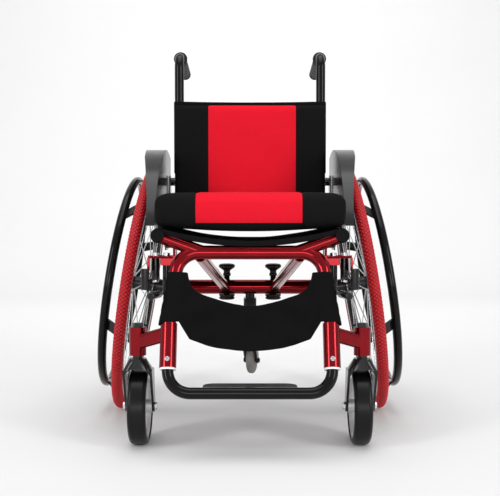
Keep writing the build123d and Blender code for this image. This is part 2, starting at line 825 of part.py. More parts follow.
pin_gap = brake_pin_radius + running_gap
shoe_pin_hole = ring(Plane(origin=(*shoe_pivot, 250.0), z_dir=(0, 0, 1)), 0, pin_gap, 150.0)
lever_pin_hole = ring(Plane(origin=(*lever_pivot, 250.0), z_dir=(0, 0, 1)), 0, pin_gap, 150.0)
shoe_base = Plane(origin=(shoe_x, shoe_y, shoe_low_z), z_dir=(0, 0, 1))
shoe = ring(shoe_base, 0, shoe_radius, shoe_height)
brake_shoe = combine(
    [brake_arm_part(shoe_pivot, (shoe_x, shoe_y), shoe_arm_z, 6.0), shoe], [shoe_pin_hole]
)
write_pair(brake_shoe, "brake_shoe")

lever_run = Vector(lever_x - lever_pivot[0], lever_y - lever_pivot[1], 0).normalized()
grip_base = Vector(lever_x, lever_y, lever_arm_z + brake_arm / 2) - lever_run * 44.0
with BuildPart() as lever_grip:
    with BuildSketch(Plane(origin=grip_base, z_dir=lever_run)):
        Circle(7.5)
    extrude(amount=54.0)
    fillet(lever_grip.edges(), 3.0)
brake_lever = combine(
    [brake_arm_part(lever_pivot, (lever_x, lever_y), lever_arm_z, 5.5), lever_grip.part],
    [lever_pin_hole],
)
write_pair(brake_lever, "brake_lever")

# ---------------------------------------------------------------- seat sling, straps and cushion
sling_gap = 0.05
sling_thickness = 2.4
sling_front = 392.0
sling_rear = 46.0
sling_mid_z = 405.0
strap_mid_z = 394.5
strap_end_z = 411.0
strap_width = 40.0
sleeve_radius = rail_radius + sling_gap + sling_thickness


def sagging_band(front_y, length, end_x, end_z, mid_z, thickness):
    """A sheet that hangs in one arc between its two equal ends."""
    with BuildPart() as band:
        with BuildSketch(Plane.XZ.offset(-front_y)):
            with BuildLine():
                ThreePointArc((-end_x, end_z + thickness), (0, mid_z + thickness), (end_x, end_z + thickness))
                Line((end_x, end_z + thickness), (end_x, end_z))
                ThreePointArc((end_x, end_z), (0, mid_z), (-end_x, end_z))
                Line((-end_x, end_z), (-end_x, end_z + thickness))
            make_face()
        extrude(amount=-length)
    return band.part


rail_sleeves = []
for x in (rail_x, -rail_x):
    sleeve_plane = Plane(origin=(x, axle_y - sling_front, rail_z), z_dir=(0, 1, 0))
    rail_sleeves.append(ring(sleeve_plane, 0, sleeve_radius, sling_front - sling_rear))
sling_sheet = sagging_band(
    axle_y - sling_front,
    sling_front - sling_rear,
    rail_x,
    rail_z + rail_radius + sling_gap,
    sling_mid_z,
    sling_thickness,
)
sling_bores = []
for x in (rail_x, -rail_x):
    bore_plane = Plane(origin=(x, axle_y - sling_front, rail_z), z_dir=(0, 1, 0))
    sling_bores.append(ring(bore_plane, 0, rail_radius + sling_gap, sling_front - sling_rear))
seat_sling = combine([sling_sheet, *rail_sleeves], [*sling_bores, front_outer])
write_piece(seat_sling, "seat_sling")

strap_bands = []
for reach in (362.0, 238.0, 118.0):
    strap_bands.append(
        sagging_band(axle_y - reach, strap_width, rail_x - 10, strap_end_z, strap_mid_z, 2.0)
    )
seat_straps = combine(strap_bands, rail_sleeves)
write_piece(seat_straps, "seat_straps")

cushion_low = rail_z + sleeve_radius + 0.3
with BuildPart() as seat_cushion:
    with BuildSketch(Plane.XY.offset(cushion_low)):
        with Locations((0, axle_y - (cushion_front - cushion_rear) / 2)):
            RectangleRounded(2 * cushion_half_width, cushion_front + cushion_rear, 24)
    extrude(amount=cushion_top - cushion_low)
    fillet(seat_cushion.edges().group_by(Axis.Z)[-1], 16)
write_piece(seat_cushion.part, "seat_cushion")

# ---------------------------------------------------------------- backrest
cane_low_z = 518.0
cane_wall = 2.0
cane_bend = 32.0
handle_drop = 16.0
handle_start_y = 75.0
grip_radius = 14.5
back_bar_z = 600.0
back_bar_radius = 8.0
hinge_pin_radius = 4.0
cane_y = axle_y + cane_back
cane_points = [
    (cane_x, cane_y, cane_low_z),
    (cane_x, cane_y, handle_z),
    (cane_x, axle_y + handle_reach, handle_z - handle_drop),
]
handle_run = (Vector(cane_points[2]) - Vector(cane_points[1])).normalized()
cane_outer = rod(cane_points, cane_bend, cane_radius)
cane_hollow = rod(cane_points, cane_bend, cane_radius - cane_wall)
bar_line = [(-cane_x, cane_y + 2, back_bar_z), (cane_x, cane_y + 2, back_bar_z)]
back_bar = rod(bar_line, None, back_bar_radius)
hinge_hole_plane = Plane(origin=(cane_x - 30, cane_y, pivot_z), z_dir=(1, 0, 0))
hinge_hole = ring(hinge_hole_plane, 0, hinge_pin_radius + running_gap, 60.0)
backrest_frame = combine(
    [cane_outer, mirrored(cane_outer), back_bar],
    [
        cane_hollow,
        mirrored(cane_hollow),
        rod(bar_line, None, back_bar_radius - 1.5),
        hinge_hole,
        mirrored(hinge_hole),
    ],
)
write_piece(backrest_frame, "backrest_frame")

grip_length = (axle_y + handle_reach - cane_y - (handle_start_y - cane_back)) / handle_run.Y
grip_plane = Plane(
    origin=Vector(cane_points[2]) - handle_run * grip_length, z_dir=handle_run
)
with BuildPart() as push_grip:
    with BuildSketch(grip_plane):
        Circle(grip_radius)
    extrude(amount=grip_length + 4.0)
    fillet(push_grip.edges(), 4.0)
    add(cane_outer, mode=Mode.SUBTRACT)
write_group(push_grip.part, "push_grips")

bracket_x = 191.0
bracket_thickness = 3.5
bracket_half = 15.0
bracket_low_z = rail_z - 10
with BuildPart() as backrest_bracket:
    with BuildSketch(Plane.YZ.offset(bracket_x)):
        with Locations((cane_y, (bracket_low_z + pivot_z) / 2)):
            Rectangle(2 * bracket_half, pivot_z - bracket_low_z)
        with Locations((cane_y, pivot_z)):
            Circle(bracket_half)
    extrude(amount=bracket_thickness)
    with BuildSketch(Plane.YZ.offset(cane_x + cane_radius + 0.4)):
        with Locations((cane_y, pivot_z)):
            Circle(10.0)
    extrude(amount=bracket_x - cane_x - cane_radius)
    with BuildSketch(Plane.YZ.offset(rail_x + 4)):
        with Locations((cane_y, rail_z)):
            Rectangle(2 * bracket_half, 18.0)
    extrude(amount=bracket_x - rail_x - 3)
    add(rail_outer, mode=Mode.SUBTRACT)
    with BuildSketch(Plane.YZ.offset(cane_x)):
        with Locations((cane_y, pivot_z)):
            Circle(hinge_pin_radius)
    extrude(amount=60.0, mode=Mode.SUBTRACT)
write_group(backrest_bracket.part, "backrest_brackets")

pin_inner_x = cane_x - cane_radius - 5.0
pin_outer_x = bracket_x + bracket_thickness
hinge_pin = combine(
    [
        ring(
            Plane(origin=(pin_inner_x, cane_y, pivot_z), z_dir=(1, 0, 0)),
            0,
            hinge_pin_radius,
            pin_outer_x - pin_inner_x,
        ),
        ring(Plane(origin=(pin_inner_x, cane_y, pivot_z), z_dir=(1, 0, 0)), 0, 6.5, 4.0),
    ]
)
write_group(hinge_pin, "hinge_pins")

back_sleeve = 13.6
back_sheet = 2.4
sleeve_low_z = 554.0
back_low_z = 472.0
pad_front = 8.0
pad_half_width = 184.0
pad_top_z = 722.0
sheet_front_y = cane_y - back_sleeve
with BuildPart() as backrest_sling:
    with BuildSketch(Plane.XY.offset(sleeve_low_z)):
        with Locations((cane_x, cane_y), (-cane_x, cane_y)):
            Circle(back_sleeve)
        with Locations((0, sheet_front_y + back_sheet / 2)):
            Rectangle(2 * cane_x, back_sheet)
    extrude(amount=back_top_z - sleeve_low_z)
    with BuildSketch(Plane.XY.offset(back_low_z)):
        with Locations((0, sheet_front_y + back_sheet / 2)):
            Rectangle(2 * cane_x - 24, back_sheet)
    extrude(amount=sleeve_low_z - back_low_z)
    add(cane_outer, mode=Mode.SUBTRACT)
    add(mirrored(cane_outer), mode=Mode.SUBTRACT)
    add(back_bar, mode=Mode.SUBTRACT)
write_piece(backrest_sling.part, "backrest_sling")

pad_back_y = sheet_front_y - 0.2
pad_front_y = axle_y + pad_front
with BuildPart() as backrest_pad:
    with BuildSketch(Plane.XY.offset(back_low_z)):
        with Locations((0, (pad_front_y + pad_back_y) / 2)):
            RectangleRounded(2 * pad_half_width, pad_back_y - pad_front_y, 5)
    extrude(amount=pad_top_z - back_low_z)
    fillet(backrest_pad.edges().group_by(Axis.Z)[-1], 4)
write_piece(backrest_pad.part, "backrest_pad")

# ---------------------------------------------------------------- calf strap
strap_sleeve = 15.9
strap_bore = 13.75
strap_sleeve_low = -13.5
strap_sleeve_top = 84.0
strap_sheet = 2.4
strap_top_mid = 22.0
strap_low_mid = -68.0
strap_notch = (117.0, -46.0)
strap_low_x = 136.0
strap_low_turn = 8.0
leg_turn = Vector(leg_low_x, strap_low_turn)
leg_rise = (Vector(leg_top_x, cross_s) - leg_turn).normalized()
sleeve_tip = leg_turn + leg_rise * (strap_sleeve_top - strap_low_turn)
strap_run = [
    front_point(leg_low_x, strap_sleeve_low),
    front_point(leg_low_x, strap_low_turn),
    front_point(sleeve_tip.X, sleeve_tip.Y),
]
calf_sleeve = rod(strap_run, 40.0, strap_sleeve)
calf_sleeve_bore = rod(strap_run, 40.0, strap_bore)
with BuildPart() as calf_strap:
    with BuildSketch(front_plane):
        with BuildLine():
            Polyline(
                (strap_notch[0], strap_notch[1]),
                (strap_low_x, strap_low_mid / 2),
                (strap_low_x, strap_sleeve_low),
                (leg_low_x, strap_sleeve_low),
                (leg_low_x, strap_low_turn),
                (sleeve_tip.X, sleeve_tip.Y - 12),
            )
            ThreePointArc(
                (sleeve_tip.X, sleeve_tip.Y - 12), (0, strap_top_mid), (-sleeve_tip.X, sleeve_tip.Y - 12)
            )
            Polyline(
                (-sleeve_tip.X, sleeve_tip.Y - 12),
                (-leg_low_x, strap_low_turn),
                (-leg_low_x, strap_sleeve_low),
                (-strap_low_x, strap_sleeve_low),
                (-strap_low_x, strap_low_mid / 2),
                (-strap_notch[0], strap_notch[1]),
            )
            ThreePointArc((-strap_notch[0], strap_notch[1]), (0, strap_low_mid), strap_notch)
        make_face()
    extrude(amount=strap_sheet / 2, both=True)
    add(calf_sleeve)
    add(mirrored(calf_sleeve))
    add(calf_sleeve_bore, mode=Mode.SUBTRACT)
    add(mirrored(calf_sleeve_bore), mode=Mode.SUBTRACT)
write_piece(calf_strap.part, "calf_strap")

# ---------------------------------------------------------------- anti-tip caster
tip_swivel_y = axle_y + 205.0
tip_housing_low_z = 118.0
tip_housing_height = 34.0
tip_housing_radius = 15.0
tip_arm_radius = 12.0
tip_block_half = 15.0
tip_block_low_z = 230.0
tip_block_top_z = 258.0
tip_neck_radius = 11.0
tip_stem_radius = 5.0
tip_wheel_radius = 35.0
tip_wheel_width = 18.0
tip_trail = 20.0
tip_axle_z = 72.0
tip_axle_radius = 3.5
tip_cheek_inner = 12.0
tip_cheek_outer = 18.0
tip_turn = -14.0
tip_crown_low = 110.0
tip_crown_top = 117.5

tip_arm_points = [
    (0, axle_y + 4, tip_block_low_z + 14),
    (0, axle_y + 60.0, 200.0),
    (0, tip_swivel_y, 138.0),
]
tip_floor = Plane(origin=(0, tip_swivel_y, tip_housing_low_z), z_dir=(0, 0, 1))
tip_neck_plane = Plane(origin=(0, axle_y, tip_block_top_z - 2), z_dir=(0, 0, 1))
with BuildPart() as tip_block:
    with BuildSketch(Plane.XY.offset(tip_block_low_z)):
        with Locations((0, axle_y + 4)):
            RectangleRounded(2 * tip_block_half, 40.0, 5.0)
    extrude(amount=tip_block_top_z - tip_block_low_z)
anti_tip_post = combine(
    [
        tip_block.part,
        ring(tip_neck_plane, 0, tip_neck_radius, 14.0),
        rod(tip_arm_points, 45.0, tip_arm_radius),
        ring(tip_floor, 0, tip_housing_radius, tip_housing_height),
    ],
    [
        camber_outer,
        ring(tip_floor, 0, tip_stem_radius + running_gap, 3 * tip_housing_height),
        ring(tip_floor.offset(tip_housing_height), 0, 30.0, 40.0),
    ],
)
write_piece(anti_tip_post, "anti_tip_post")

tip_axle_y = tip_swivel_y + tip_trail
tip_swivel_axis = Axis((0, tip_swivel_y, 0), (0, 0, 1))


def turned(piece):
    """The piece swivelled to where the anti-tip wheel rests."""
    with BuildPart() as swivelled:
        add(piece.rotate(tip_swivel_axis, tip_turn))
    return swivelled.part


with BuildPart() as tip_fork:
    with BuildSketch(Plane.YZ):
        with BuildLine():
            Polyline(
                (tip_swivel_y - 13, tip_crown_top),
                (tip_swivel_y + 13, tip_crown_top),
                (tip_axle_y + 8, tip_axle_z),
                (tip_axle_y - 8, tip_axle_z),
                close=True,
            )
        make_face()
        with Locations((tip_axle_y, tip_axle_z)):
            Circle(8.0)
    extrude(amount=tip_cheek_outer, both=True)
    with BuildSketch(Plane.XY.offset(tip_crown_low)):
        with Locations((0, tip_swivel_y)):
            Rectangle(2 * tip_cheek_inner, 140)
    extrude(amount=-80, mode=Mode.SUBTRACT)
    with BuildSketch(Plane.YZ):
        with Locations((tip_axle_y, tip_axle_z)):
            Circle(tip_axle_radius)
    extrude(amount=tip_cheek_outer + 4, both=True)
    for x in (-tip_cheek_outer - 3.5, tip_cheek_outer):
        with BuildSketch(Plane.YZ.offset(x)):
            with Locations((tip_axle_y, tip_axle_z)):
                RegularPolygon(6.5, 6)
        extrude(amount=3.5)
    with BuildSketch(Plane.XY.offset(tip_crown_top - 1)):
        with Locations((0, tip_swivel_y)):
            Circle(tip_stem_radius)
    extrude(amount=tip_housing_low_z + tip_housing_height - tip_crown_top + 7)
    with BuildSketch(Plane.XY.offset(tip_housing_low_z + tip_housing_height + 0.4)):
        with Locations((0, tip_swivel_y)):
            RegularPolygon(8.5, 6)
    extrude(amount=5.5)
write_piece(turned(tip_fork.part), "anti_tip_fork")

tip_centre = Vector(0, tip_axle_y, tip_axle_z)
with BuildPart() as tip_wheel:
    with BuildSketch(Plane(origin=tip_centre, x_dir=(0, 0, 1), z_dir=(0, 1, 0))):
        RectangleRounded(2 * tip_wheel_radius, tip_wheel_width, 7)
        Rectangle(2 * (tip_axle_radius + running_gap), tip_wheel_width + 2, mode=Mode.SUBTRACT)
        with Locations((-tip_wheel_radius, 0)):
            Rectangle(2 * tip_wheel_radius, tip_wheel_width + 2, mode=Mode.SUBTRACT)
    revolve(axis=Axis(tip_centre, (1, 0, 0)))
write_piece(turned(tip_wheel.part), "anti_tip_wheel")
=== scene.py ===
import json
import math

import bpy
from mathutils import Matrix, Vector, noise


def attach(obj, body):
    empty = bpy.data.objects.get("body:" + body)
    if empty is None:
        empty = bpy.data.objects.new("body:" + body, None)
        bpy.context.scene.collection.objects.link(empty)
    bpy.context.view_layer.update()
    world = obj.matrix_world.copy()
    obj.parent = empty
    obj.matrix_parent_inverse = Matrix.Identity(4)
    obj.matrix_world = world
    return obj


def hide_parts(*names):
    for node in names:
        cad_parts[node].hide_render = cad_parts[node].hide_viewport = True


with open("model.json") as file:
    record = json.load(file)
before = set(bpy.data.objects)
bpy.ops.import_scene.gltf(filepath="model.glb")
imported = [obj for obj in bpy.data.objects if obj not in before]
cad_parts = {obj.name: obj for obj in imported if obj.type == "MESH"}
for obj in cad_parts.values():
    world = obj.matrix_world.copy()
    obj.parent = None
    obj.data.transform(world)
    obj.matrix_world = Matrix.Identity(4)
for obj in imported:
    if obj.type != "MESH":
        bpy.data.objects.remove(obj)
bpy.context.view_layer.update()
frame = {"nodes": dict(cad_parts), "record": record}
nodes = frame["nodes"]
scene = bpy.context.scene

# ------------------------------------------------------------------ sizes, metres
AXLE_Y = 0.094364
CAMBER = math.radians(8.5)
HUB = Vector((0.258244, AXLE_Y, 0.291897))
WHEEL_UP = Vector((-math.sin(CAMBER), 0, math.cos(CAMBER)))
WHEEL_OUT = Vector((math.cos(CAMBER), 0, math.sin(CAMBER)))
WHEEL_FRONT = Vector((0, -1, 0))
LEAN = math.radians(20.0)
KNEE = Vector((0, AXLE_Y - 0.4225, 0.262))
SLOPE_UP = Vector((0, math.sin(LEAN), math.cos(LEAN)))
SLOPE_OUT = Vector((0, -math.cos(LEAN), math.sin(LEAN)))
CANE_X, CANE_Y = 0.170, AXLE_Y + 0.038
RAIL_X, RAIL_Z, RAIL_R = 0.178, 0.414, 0.0127
TYRE_CENTRE_R = 0.2825
TREAD_COUNT = 220
HEM_HALF, HEM_DROP = 0.176, 0.0105
RED_SEAT = (-0.107, 0.103)
RED_BACK = (-0.100, 0.110)
UNDERSIDE_Z = 0.4385
# stitching beside the cushions' red panel
STITCH_OFFSET = 0.0045
STITCH_PITCH = 0.0042
STITCH_HALF = 0.0006
# rear wheel: tyre section, tread, spoke ends, nipples and valve
TREAD_SLANTS = (1.15, -1.15)
TYRE_SECTION = 0.0125
GROOVE_DEPTH = 0.0010
SPOKE_COUNT = 24
SPOKE_CROSS = 22
RIM_BED = 0.2502
HUB_FLANGE = 0.027
NIPPLE_SIDES = 10
NIPPLE_PROFILE = ((0.0, 0.0026), (0.002, 0.0026), (0.004, 0.0020), (0.013, 0.0019), (0.014, 0.0014))
# cloth: its gap from the tubes, the sling's lowest line, and the calf sleeves' inset
CLOTH_GAP = 0.0012
SEAT_MID_Z = 0.4030
SLEEVE_INSET = 0.0195
# push grips: the wavy part's middle radius, one rib, the wave's start and pitch, the rounded end
GRIP_RADIUS = 0.0134
RIB_SHAPE = ((0.0, 0.0134), (0.0012, 0.0134), (0.0020, 0.0147), (0.0040, 0.0147), (0.0048, 0.0134))
WAVE_START = 0.036
WAVE_PITCH = 0.0255
GRIP_END = ((0.009, 0.0142), (0.003, 0.0142), (0.0008, 0.0128), (0.0, 0.0100), (0.0, 0.0002))


def slope_point(x, s, n=0.0):
    """A point of the leaning front plane: across, up the slope, out of the plane."""
    return KNEE + Vector((x, 0, 0)) + SLOPE_UP * s + SLOPE_OUT * n


def side_flip(v, side):
    return Vector((v[0] * side, v[1], v[2]))


# ------------------------------------------------------------------ material helpers
class Graph:
    """A short way to build one node material."""

    def __init__(self, name, **sockets):
        self.mat = bpy.data.materials.new(name)
        self.mat.use_nodes = True
        self.tree = self.mat.node_tree
        self.shader = self.tree.nodes["Principled BSDF"]
        for key, value in sockets.items():
            self.shader.inputs[key.replace("_", " ")].default_value = value
        self.coords = self.node("ShaderNodeTexCoord").outputs["Object"]

    def node(self, kind, **settings):
        made = self.tree.nodes.new(kind)
        for key, value in settings.items():
            setattr(made, key, value)
        return made

    def link(self, source, target):
        self.tree.links.new(source, target)

    def math(self, operation, a, b=0.0, c=0.0):
        made = self.node("ShaderNodeMath", operation=operation)
        for socket, value in zip(made.inputs, (a, b, c)):
            if isinstance(value, (int, float)):
                socket.default_value = value
            else:
                self.link(value, socket)
        return made.outputs[0]

    def xyz(self):
        split = self.node("ShaderNodeSeparateXYZ")
        self.link(self.coords, split.inputs[0])
        return split.outputs

    def noise(self, scale, detail=3.0, roughness=0.5):
        made = self.node("ShaderNodeTexNoise")
        made.inputs["Scale"].default_value = scale
        made.inputs["Detail"].default_value = detail
        made.inputs["Roughness"].default_value = roughness
        self.link(self.coords, made.inputs["Vector"])
        return made.outputs["Fac"]

    def ramp(self, fac, stops):
        made = self.node("ShaderNodeValToRGB")
        elements = made.color_ramp.elements
        while len(elements) < len(stops):
            elements.new(0.5)
        for element, (place, colour) in zip(elements, stops):
            element.position = place
            element.color = (*colour, 1.0) if len(colour) == 3 else colour
        self.link(fac, made.inputs[0])
        return made.outputs["Color"]

    def mix(self, fac, a, b):
        made = self.node("ShaderNodeMix", data_type="RGBA")
        self.link(fac, made.inputs[0])
        for socket, value in ((made.inputs[6], a), (made.inputs[7], b)):
            if isinstance(value, tuple):
                socket.default_value = (*value, 1.0)
            else:
                self.link(value, socket)
        return made.outputs[2]

    def between(self, value, low, high):
        above = self.math("GREATER_THAN", value, low)
        below = self.math("LESS_THAN", value, high)
        return self.math("MULTIPLY", above, below)

    def colour(self, source):
        self.link(source, self.shader.inputs["Base Color"])

    def rough(self, fac, low, high):
        made = self.node("ShaderNodeMapRange")
        made.inputs["To Min"].default_value = low
        made.inputs["To Max"].default_value = high
        self.link(fac, made.inputs["Value"])
        self.link(made.outputs[0], self.shader.inputs["Roughness"])

    def bump(self, height, distance, strength=1.0, radius=0.0):
        made = self.node("ShaderNodeBump")
        made.inputs["Strength"].default_value = strength
        made.inputs["Distance"].default_value = distance
        self.link(height, made.inputs["Height"])
        if radius:
            soft = self.node("ShaderNodeBevel", samples=4)
            soft.inputs["Radius"].default_value = radius
            self.link(soft.outputs[0], made.inputs["Normal"])
        self.link(made.outputs[0], self.shader.inputs["Normal"])


def tinted(graph, base, spread, scale):
    """A base colour that varies a little over the surface."""
    darker = tuple(max(0.0, c * (1 - spread)) for c in base)
    lighter = tuple(min(1.0, c * (1 + spread)) for c in base)
    graph.colour(graph.ramp(graph.noise(scale, 4.0), [(0.3, darker), (0.7, lighter)]))


def hard_material(
    name, base, rough, metallic=0.0, coat=0.0, shine=0.5, grain=900.0, depth=0.00002, edge=0.0006
):
    g = Graph(name, Metallic=metallic, Coat_Weight=coat, Coat_Roughness=0.06, Specular_IOR_Level=shine)
    tinted(g, base, 0.12, 30.0)
    g.rough(g.noise(60.0, 5.0, 0.6), rough * 0.8, rough * 1.25)
    g.bump(g.noise(grain, 2.0), depth, 0.5, edge)
    return g.mat


def weave(g, pitch):
    """Plain weave height that looks the same on faces of any direction."""
    x, y, z = g.xyz()
    k = 2 * math.pi / pitch
    across = g.math("SINE", g.math("MULTIPLY", x, k))
    along = g.math("SINE", g.math("MULTIPLY", g.math("ADD", y, z), k))
    return g.math("MULTIPLY_ADD", g.math("MULTIPLY", across, along), 0.5, 0.5)


def fabric_material(name, base, pitch, depth, rough=0.85):
    g = Graph(name, Roughness=rough, Specular_IOR_Level=0.06)
    threads = weave(g, pitch)
    fuzz = g.noise(260.0, 5.0, 0.65)
    dark = tuple(c * 0.45 for c in base)
    woven = g.mix(threads, dark, base)
    patch = g.ramp(g.noise(22.0, 4.0), [(0.25, tuple(c * 0.7 for c in base)), (0.75, base)])
    half = g.node("ShaderNodeMix", data_type="RGBA", blend_type="MULTIPLY")
    half.inputs[0].default_value = 0.35
    g.link(woven, half.inputs[6])
    g.link(patch, half.inputs[7])
    g.colour(half.outputs[2])
    g.bump(g.math("ADD", threads, g.math("MULTIPLY", fuzz, 0.7)), depth, 0.8)
    return g.mat


def cushion_material(name, panel, seam_width, rear):
    """Red spacer mesh between black sides, sewn each side of the red, with a black underside and rear."""
    g = Graph(name, Roughness=0.78, Specular_IOR_Level=0.04)
    x, y, z = g.xyz()
    threads = weave(g, 0.0034)
    fuzz = g.noise(240.0, 5.0, 0.65)
    red = g.mix(threads, (0.42, 0.004, 0.010), (0.76, 0.013, 0.032))
    black = g.mix(threads, (0.0025, 0.0025, 0.0028), (0.0090, 0.0090, 0.0095))
    shown = g.math("MULTIPLY", g.math("GREATER_THAN", z, UNDERSIDE_Z), g.math("LESS_THAN", y, rear))
    inside = g.math("MULTIPLY", g.between(x, panel[0], panel[1]), shown)
    base = g.mix(inside, black, red)
    near_low = g.math("LESS_THAN", g.math("ABSOLUTE", g.math("SUBTRACT", x, panel[0])), seam_width)
    near_high = g.math("LESS_THAN", g.math("ABSOLUTE", g.math("SUBTRACT", x, panel[1])), seam_width)
    seam = g.math("ADD", near_low, near_high)
    g.colour(g.mix(seam, base, (0.006, 0.004, 0.005)))
    from_middle = g.math("ABSOLUTE", g.math("SUBTRACT", x, sum(panel) / 2))
    stitch_line = (panel[1] - panel[0]) / 2 + STITCH_OFFSET
    stitch_gap = g.math("ABSOLUTE", g.math("SUBTRACT", from_middle, stitch_line))
    along = g.math("SINE", g.math("MULTIPLY", g.math("ADD", y, z), 2 * math.pi / STITCH_PITCH))
    on_line = g.math("LESS_THAN", stitch_gap, STITCH_HALF)
    stitch = g.math("MULTIPLY", on_line, g.math("GREATER_THAN", along, -0.3))
    cloth = g.math("ADD", threads, g.math("MULTIPLY", fuzz, 0.6))
    height = g.math("ADD", cloth, g.math("MULTIPLY", stitch, 1.5))
    g.bump(height, 0.00045, 0.75)
    return g.mat


def wheel_frame(g):
    """Forward, upward and outward distances from the nearer wheel's centre, and the radius."""
    x, y, z = g.xyz()
    local = g.node("ShaderNodeCombineXYZ")
    g.link(g.math("SUBTRACT", g.math("ABSOLUTE", x), HUB.x), local.inputs[0])
    g.link(g.math("SUBTRACT", y, HUB.y), local.inputs[1])
    g.link(g.math("SUBTRACT", z, HUB.z), local.inputs[2])
    found = []
    for direction in (WHEEL_FRONT, WHEEL_UP, WHEEL_OUT):
        dot = g.node("ShaderNodeVectorMath", operation="DOT_PRODUCT")
        dot.inputs[1].default_value = direction
        g.link(local.outputs[0], dot.inputs[0])
        found.append(dot.outputs["Value"])
    forward, rise, out = found
    squares = g.math("ADD", g.math("MULTIPLY", forward, forward), g.math("MULTIPLY", rise, rise))
    radius = g.math("SQRT", squares)
    return forward, rise, out, radius


def rim_material(name):
    """Black anodised rim with two bright bands at its edges that are painted highlights."""
    g = Graph(name, Metallic=1.0, Coat_Weight=0.2, Coat_Roughness=0.1)
    radius = wheel_frame(g)[3]
    # the two bright bands of radius are painted highlights along the rim's edges
    low = g.between(radius, 0.2565, 0.2592)
    high = g.between(radius, 0.2705, 0.2745)
    painted_edge_highlight = g.math("ADD", low, high)
    g.colour(g.mix(painted_edge_highlight, (0.022, 0.022, 0.024), (0.62, 0.62, 0.64)))
    g.rough(g.noise(120.0, 4.0), 0.2, 0.34)
    g.bump(g.noise(700.0, 2.0), 0.00002, 0.5)
    return g.mat


def tread_material(name, groove, rib):
    """Red rubber with painted shade in its tread grooves, which take a darker colour than the ribs."""
    g = Graph(name, Roughness=0.5, Specular_IOR_Level=0.25)
    forward, rise, out, radius = wheel_frame(g)
    turn = g.math("MULTIPLY", g.math("ARCTAN2", forward, rise), TREAD_COUNT / (2 * math.pi))
    bend = g.math("ARCTAN2", out, g.math("SUBTRACT", radius, TYRE_CENTRE_R))
    wave = []
    for slant in TREAD_SLANTS:
        phase = g.math("ADD", turn, g.math("MULTIPLY", bend, slant))
        wave.append(g.math("COSINE", g.math("MULTIPLY", phase, 2 * math.pi)))
    cut = g.math("MAXIMUM", wave[0], wave[1])
    fac = g.ramp(cut, [(0.30, (0.0, 0.0, 0.0)), (0.95, (1.0, 1.0, 1.0))])
    dust = g.ramp(g.noise(40.0, 4.0), [(0.3, tuple(c * 0.85 for c in rib)), (0.7, rib)])
    # the groove colour is painted shade in the tread's recesses; the ribs keep the rubber's own red
    g.colour(g.mix(fac, dust, groove))
    sunk = g.math("MULTIPLY", cut, -1.0)
    grain = g.math("MULTIPLY", g.noise(420.0, 4.0), 0.4)
    g.bump(g.math("ADD", sunk, grain), 0.0005, 0.8)
    return g.mat


def rubber_material(name, base, rough=0.6, grain=500.0, depth=0.0001):
    g = Graph(name, Specular_IOR_Level=0.2)
    tinted(g, base, 0.2, 45.0)
    g.rough(g.noise(80.0, 5.0, 0.6), rough * 0.85, min(1.0, rough * 1.2))
    g.bump(g.noise(grain, 4.0, 0.6), depth, 0.6)
    return g.mat


candy_red = hard_material("candy_red", (0.21, 0.0008, 0.005), 0.15, metallic=0.9, coat=0.2, grain=600.0)
gloss_black = hard_material("gloss_black", (0.003, 0.003, 0.0032), 0.13, coat=0.05, shine=0.15)
satin_black = hard_material("satin_black", (0.004, 0.004, 0.0045), 0.22, coat=0.3, shine=0.25)
moulded_black = hard_material(
    "moulded_black", (0.004, 0.004, 0.0045), 0.45, shine=0.05, grain=420.0, depth=0.00005
)
knob_black = hard_material("knob_black", (0.010, 0.006, 0.007), 0.25, metallic=0.4, shine=0.4)
guard_grey = hard_material(
    "guard_grey", (0.012, 0.012, 0.013), 0.22, coat=0.06, shine=0.25, grain=350.0, depth=0.00003
)
white_nylon = hard_material("white_nylon", (0.78, 0.78, 0.76), 0.4)
zinc = hard_material("zinc", (0.62, 0.62, 0.64), 0.24, metallic=1.0, grain=1200.0)
hub_metal = hard_material("hub_metal", (0.06, 0.06, 0.065), 0.28, metallic=1.0)
spoke_bright = hard_material("spoke_bright", (0.55, 0.55, 0.56), 0.25, metallic=1.0, edge=0.0)
silver_rim = hard_material("silver_rim", (0.66, 0.66, 0.67), 0.3, metallic=0.5)
anodised_rim = rim_material("anodised_rim")
grey_rubber = rubber_material("grey_rubber", (0.17, 0.165, 0.155), 0.55)
caster_rubber = rubber_material("caster_rubber", (0.0035, 0.0035, 0.004), 0.30, 300.0, 0.00004)
grip_rubber = rubber_material("grip_rubber", (0.006, 0.006, 0.0065), 0.45)
# the first colour is painted shade for the tread grooves, the second is the rubber's own red
tyre_rubber = tread_material("tyre_rubber", (0.16, 0.003, 0.006), (0.62, 0.010, 0.018))
black_cloth = fabric_material("black_cloth", (0.0080, 0.0080, 0.0085), 0.0017, 0.00025)
webbing = fabric_material("webbing", (0.0085, 0.0085, 0.009), 0.0026, 0.0005, 0.7)
seat_cover = cushion_material("seat_cover", RED_SEAT, 0.0011, AXLE_Y - 0.008)
back_cover = cushion_material("back_cover", RED_BACK, 0.0011, AXLE_Y + 0.019)

SLOT_MATERIALS = {
    "red_frame": candy_red,
    "black_frame": gloss_black,
    "black_metal": satin_black,
    "black_plastic": moulded_black,
    "grey_plastic": guard_grey,
    "white_plastic": white_nylon,
    "black_fabric": black_cloth,
    "cushion_fabric": seat_cover,
    "grip_rubber": grip_rubber,
    "grey_rubber": grey_rubber,
    "red_tyre": tyre_rubber,
    "black_tyre": caster_rubber,
    "rim": anodised_rim,
    "silver_rim": silver_rim,
    "hub_metal": hub_metal,
    "handrim_black": gloss_black,
    "spoke_steel": spoke_bright,
    "steel": zinc,
}

for part in frame["record"]["subparts"]:
    shown = nodes[part["node"]]
    shown.data.materials.clear()
    shown.data.materials.append(SLOT_MATERIALS[part["material_slot"]])


